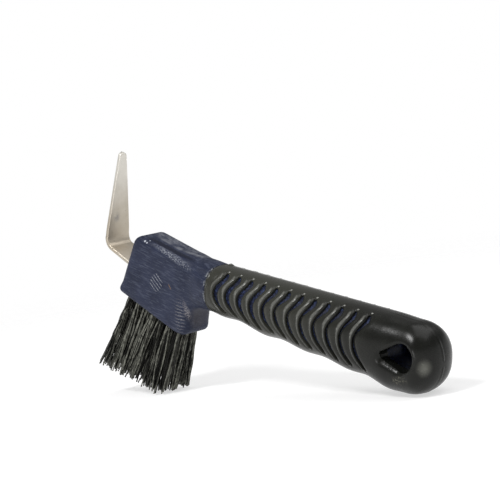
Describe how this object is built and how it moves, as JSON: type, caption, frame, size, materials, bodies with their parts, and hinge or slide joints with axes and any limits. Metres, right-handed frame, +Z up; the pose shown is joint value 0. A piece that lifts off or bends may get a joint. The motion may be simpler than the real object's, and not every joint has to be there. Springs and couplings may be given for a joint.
{
  "type": "hoof pick",
  "caption": "Hand tool with a bent steel pick and a stiff brush on one moulded head, and a ribbed soft grip with a hang hole.",
  "frame": {"origin": "on the floor under the middle of the object's bounding box, as it rests on the brush and the butt", "axes": "+X from the brush towards the butt of the handle, +Y across the handle, +Z up"},
  "size_m": [0.1924, 0.0242, 0.1069],
  "materials": {
    "core": "satin moulded plastic with fine drag lines",
    "grip": "soft satin rubber",
    "steel": "satin, slightly tarnished",
    "bristle": "crimped nylon filament",
    "anchor": "plain flat wire"
  },
  "bodies": {
    "root": {"handle_core": "core", "grip_sleeve": "grip", "pick_blade": "steel", "tuft_a1": "bristle", "tuft_a2": "bristle", "tuft_a3": "bristle", "tuft_a4": "bristle", "tuft_a5": "bristle", "tuft_a6": "bristle", "tuft_a7": "bristle", "tuft_b1": "bristle", "tuft_b2": "bristle", "tuft_b3": "bristle", "tuft_b4": "bristle", "tuft_b5": "bristle", "tuft_b6": "bristle", "tuft_b7": "bristle", "tuft_c1": "bristle", "tuft_c2": "bristle", "tuft_c3": "bristle", "tuft_c4": "bristle", "tuft_c5": "bristle", "tuft_c6": "bristle", "tuft_c7": "bristle", "anchor_a1": "anchor", "anchor_a2": "anchor", "anchor_a3": "anchor", "anchor_a4": "anchor", "anchor_a5": "anchor", "anchor_a6": "anchor", "anchor_a7": "anchor", "anchor_b1": "anchor", "anchor_b2": "anchor", "anchor_b3": "anchor", "anchor_b4": "anchor", "anchor_b5": "anchor", "anchor_b6": "anchor", "anchor_b7": "anchor", "anchor_c1": "anchor", "anchor_c2": "anchor", "anchor_c3": "anchor", "anchor_c4": "anchor", "anchor_c5": "anchor", "anchor_c6": "anchor", "anchor_c7": "anchor"}
  },
  "joints": []
}
